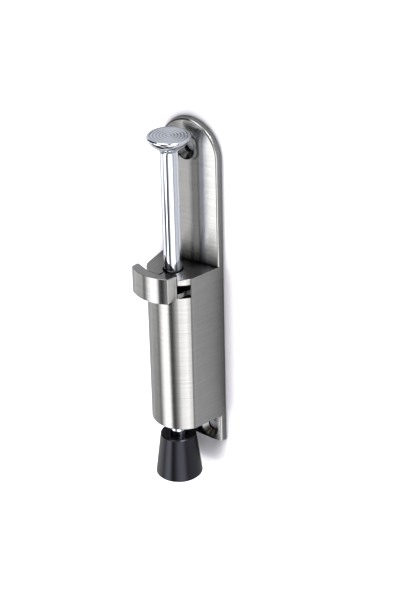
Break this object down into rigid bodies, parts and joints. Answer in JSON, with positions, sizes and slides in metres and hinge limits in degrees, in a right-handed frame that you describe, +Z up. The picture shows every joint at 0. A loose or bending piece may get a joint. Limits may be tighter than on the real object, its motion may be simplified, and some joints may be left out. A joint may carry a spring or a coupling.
{
  "type": "spring door stop",
  "caption": "Upright plunger door holder: a sprung rod with a rubber foot slides through a cast housing on a screw-on back plate, and a rocking latch plate grips the rod.",
  "frame": {"origin": "middle of the flat back of the plate, which lies on the door", "axes": "+Z up along the plate and the plunger, +Y out of the plate's back into the door, +X to the viewer's right"},
  "size_m": [0.0338, 0.0292, 0.1823],
  "materials": {
    "satin_casting": "satin",
    "satin_latch": "satin",
    "bright_rod": "polished",
    "bright_head": "polished",
    "plain_steel": "satin",
    "spring_steel": "drawn",
    "bush_brass": "turned",
    "black_rubber": "moulded"
  },
  "bodies": {
    "casting": {"body_casting": "satin_casting", "guide_bush": "bush_brass", "retaining_ring": "spring_steel", "return_spring": "spring_steel", "latch_spring": "spring_steel"},
    "plunger": {"plunger_rod": "bright_rod", "step_head": "bright_head", "spring_collar": "plain_steel", "rubber_foot": "black_rubber", "foot_washer": "plain_steel", "foot_screw": "plain_steel"},
    "latch": {"latch_lever": "satin_latch"}
  },
  "joints": [
    {"name": "plunger_slide", "type": "slide", "parent": "casting", "child": "plunger", "axis": [0, 0, -1], "range_m": [0, 0.04], "stiffness_N_per_m": 350, "springref_m": -0.0286, "deforming": ["return_spring"]},
    {"name": "latch_rock", "type": "hinge", "parent": "casting", "child": "latch", "pos_m": [0.0059, -0.016, -0.0007], "axis": [0, -1, 0], "range_deg": [0, 2.6], "stiffness_Nm_per_rad": 0.15, "springref_deg": -6.88, "deforming": ["latch_spring"]}
  ]
}
